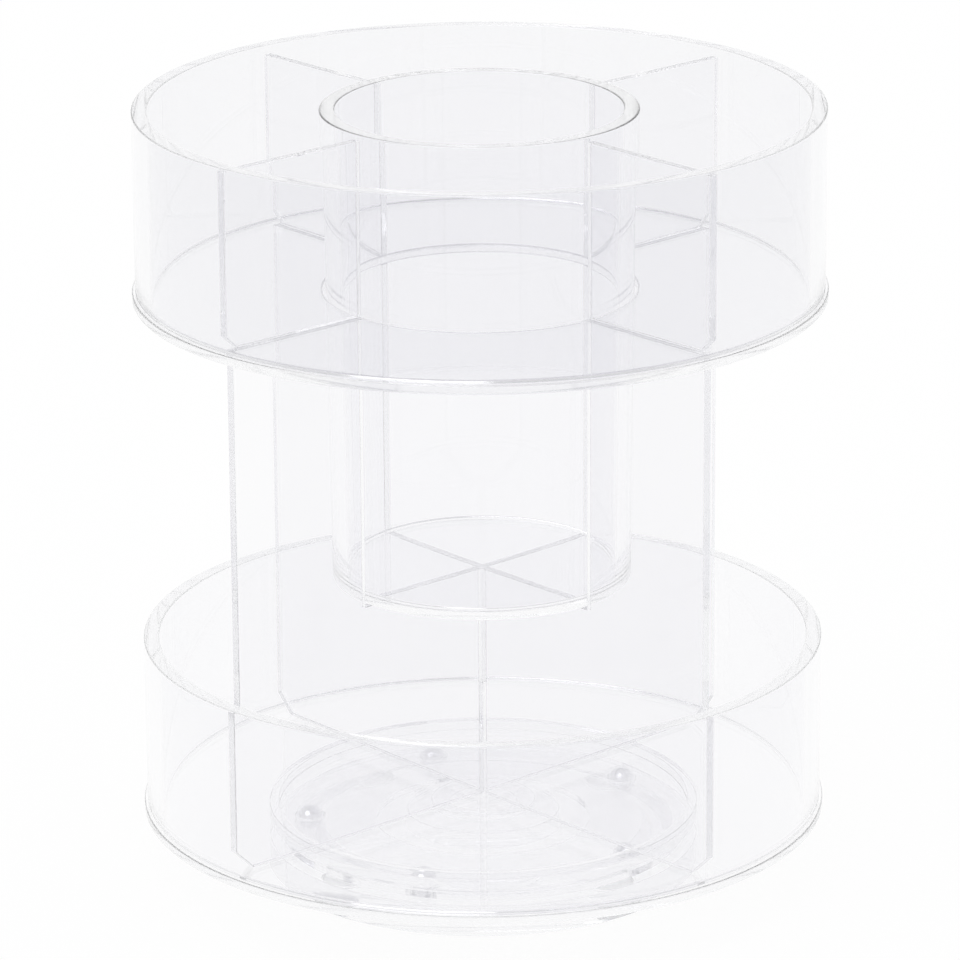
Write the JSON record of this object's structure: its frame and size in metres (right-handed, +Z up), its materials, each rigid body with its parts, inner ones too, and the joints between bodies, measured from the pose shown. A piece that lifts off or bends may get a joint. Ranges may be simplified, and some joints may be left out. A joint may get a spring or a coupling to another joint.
{
  "type": "rotating makeup stand",
  "caption": "Round clear makeup carousel: flanged trays on crossed panels, radial dividers and a drop-in centre cup, turning on a ball-bearing base.",
  "frame": {"origin": "centre of the footprint, on the surface that the pads rest on", "axes": "+Z up along the turning axis; the panels stand on the diagonals between X and Y"},
  "size_m": [0.222, 0.222, 0.255],
  "materials": {
    "clear_acrylic": "clear, polished",
    "bearing_steel": "polished",
    "clear_silicone": "clear, satin"
  },
  "bodies": {
    "base": {"base_plate": "clear_acrylic", "foot_pad_1": "clear_silicone", "foot_pad_2": "clear_silicone", "foot_pad_3": "clear_silicone", "foot_pad_4": "clear_silicone", "pivot_post": "clear_acrylic", "pivot_retainer": "clear_acrylic"},
    "carousel": {"turntable_plate": "clear_acrylic", "lower_tray_floor": "clear_acrylic", "lower_tray_wall": "clear_acrylic", "panel_a": "clear_acrylic", "panel_b": "clear_acrylic", "upper_tray_floor": "clear_acrylic", "upper_tray_wall": "clear_acrylic", "divider_1": "clear_acrylic", "divider_2": "clear_acrylic", "divider_3": "clear_acrylic", "divider_4": "clear_acrylic"},
    "cage": {"ball_cage": "clear_acrylic"},
    "ball_1": {"ball_1": "bearing_steel"},
    "ball_2": {"ball_2": "bearing_steel"},
    "ball_3": {"ball_3": "bearing_steel"},
    "ball_4": {"ball_4": "bearing_steel"},
    "ball_5": {"ball_5": "bearing_steel"},
    "cup": {"cup_tube": "clear_acrylic", "cup_floor": "clear_acrylic"}
  },
  "joints": [
    {"name": "carousel_spin", "type": "hinge", "parent": "base", "child": "carousel", "pos_m": [0, 0, 0.01045], "axis": [0, 0, 1], "continuous": true},
    {"name": "cage_spin", "type": "hinge", "parent": "base", "child": "cage", "pos_m": [0, 0, 0.01045], "axis": [0, 0, 1], "continuous": true},
    {"name": "ball_1_roll", "type": "hinge", "parent": "cage", "child": "ball_1", "pos_m": [0.04571, 0.03571, 0.01045], "axis": [-0.788, -0.6157, 0], "continuous": true},
    {"name": "ball_2_roll", "type": "hinge", "parent": "cage", "child": "ball_2", "pos_m": [-0.01984, 0.0545, 0.01045], "axis": [0.342, -0.9397, 0], "continuous": true},
    {"name": "ball_3_roll", "type": "hinge", "parent": "cage", "child": "ball_3", "pos_m": [-0.05797, -0.00202, 0.01045], "axis": [0.9994, 0.0349, 0], "continuous": true},
    {"name": "ball_4_roll", "type": "hinge", "parent": "cage", "child": "ball_4", "pos_m": [-0.01599, -0.05575, 0.01045], "axis": [0.2756, 0.9613, 0], "continuous": true},
    {"name": "ball_5_roll", "type": "hinge", "parent": "cage", "child": "ball_5", "pos_m": [0.04808, -0.03243, 0.01045], "axis": [-0.829, 0.5592, 0], "continuous": true},
    {"name": "cup_lift", "type": "slide", "parent": "carousel", "child": "cup", "axis": [0, 0, 1], "range_m": [0, 0.16]}
  ],
  "couplings": [
    {"joint": "cage_spin", "follows": "carousel_spin", "ratio": 0.5},
    {"joint": "ball_1_roll", "follows": "carousel_spin", "ratio": 6.1053},
    {"joint": "ball_2_roll", "follows": "carousel_spin", "ratio": 6.1053},
    {"joint": "ball_3_roll", "follows": "carousel_spin", "ratio": 6.1053},
    {"joint": "ball_4_roll", "follows": "carousel_spin", "ratio": 6.1053},
    {"joint": "ball_5_roll", "follows": "carousel_spin", "ratio": 6.1053}
  ]
}
